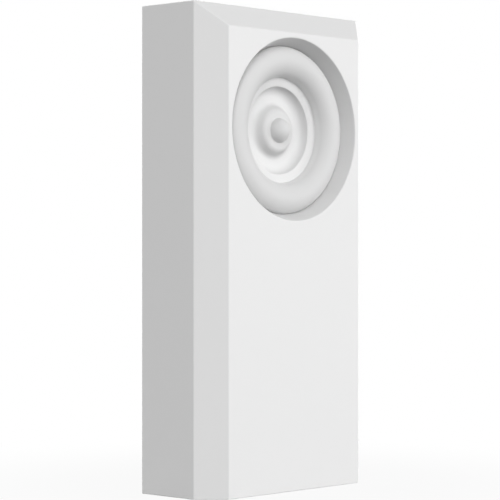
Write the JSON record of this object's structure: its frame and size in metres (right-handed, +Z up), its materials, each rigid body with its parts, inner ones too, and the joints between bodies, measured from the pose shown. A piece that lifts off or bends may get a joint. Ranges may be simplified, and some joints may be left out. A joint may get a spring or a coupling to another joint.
{
  "type": "plinth block",
  "caption": "Plinth block with bevelled front edges and a turned bullseye; ends a door casing at the floor or a corner, where baseboard meets it.",
  "frame": {"origin": "middle of the foot: centre of the bounding box's lower face", "axes": "+Z up along the block's height, +Y into the wall, so the bevelled face with the bullseye looks along -Y; +X to the right seen from the front"},
  "size_m": [0.0636, 0.0254, 0.127],
  "materials": {
    "white_trim": "smooth factory-primed white, satin to matte, foamed PVC or polyurethane moulding"
  },
  "bodies": {
    "root": {"plinth_block": "white_trim"}
  },
  "joints": []
}
